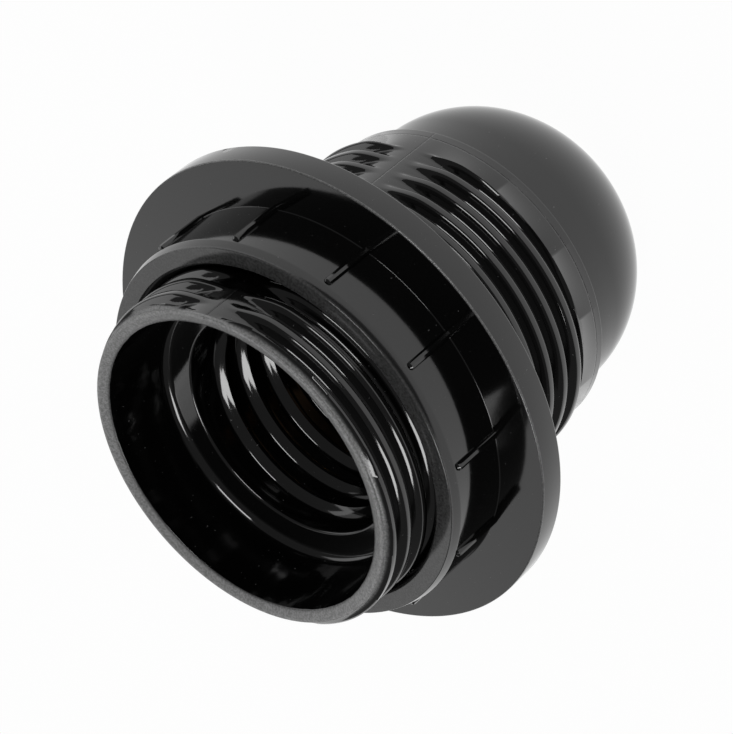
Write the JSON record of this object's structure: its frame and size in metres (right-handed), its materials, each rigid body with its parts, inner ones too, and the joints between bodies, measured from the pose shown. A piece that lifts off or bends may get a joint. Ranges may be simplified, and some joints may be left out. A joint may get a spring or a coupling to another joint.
{
  "type": "lamp holder",
  "caption": "Screw-thread lamp holder with a domed cap, a threaded barrel sleeve and a flanged shade ring that runs on the barrel.",
  "frame": {"origin": "centre of the cap's end face, in the mouth of the tube entry", "axes": "+Z along the holder's axis towards the open mouth that takes the lamp; XZ is the sleeve mould's parting plane"},
  "size_m": [0.0562, 0.0562, 0.057],
  "materials": {
    "black_phenolic": "moulded, glossy",
    "block_phenolic": "moulded, satin",
    "brass": "drawn and cut",
    "phosphor_bronze": "rolled strip",
    "zinc_steel": "zinc plated"
  },
  "bodies": {
    "cap": {"cap": "black_phenolic", "entry_lock_screw": "zinc_steel"},
    "block": {"terminal_block": "block_phenolic", "side_contact": "phosphor_bronze", "live_terminal": "brass", "neutral_terminal": "brass", "live_clamp_screw": "zinc_steel", "neutral_clamp_screw": "zinc_steel", "centre_rivet": "brass", "side_rivet": "brass"},
    "centre_contact": {"centre_contact": "phosphor_bronze"},
    "sleeve": {"sleeve": "black_phenolic"},
    "shade_ring": {"shade_ring": "black_phenolic"}
  },
  "joints": [
    {"name": "block_lift", "type": "slide", "parent": "cap", "child": "block", "axis": [0, 0, 1], "range_m": [0, 0.0038]},
    {"name": "sleeve_turn", "type": "hinge", "parent": "block", "child": "sleeve", "pos_m": [0, 0, 0.04], "axis": [0, 0, 1], "range_deg": [0, 900]},
    {"name": "ring_travel", "type": "slide", "parent": "sleeve", "child": "shade_ring", "axis": [0, 0, 1], "range_m": [-0.017, 0.006]},
    {"name": "contact_press", "type": "hinge", "parent": "block", "child": "centre_contact", "pos_m": [0, 0.0069, 0.025], "axis": [1, 0, 0], "range_deg": [0, 6], "stiffness_Nm_per_rad": 0.22, "springref_deg": -2.86}
  ],
  "couplings": [
    {"joint": "block_lift", "follows": "sleeve_turn", "m_per_rad": 0.00023873}
  ]
}
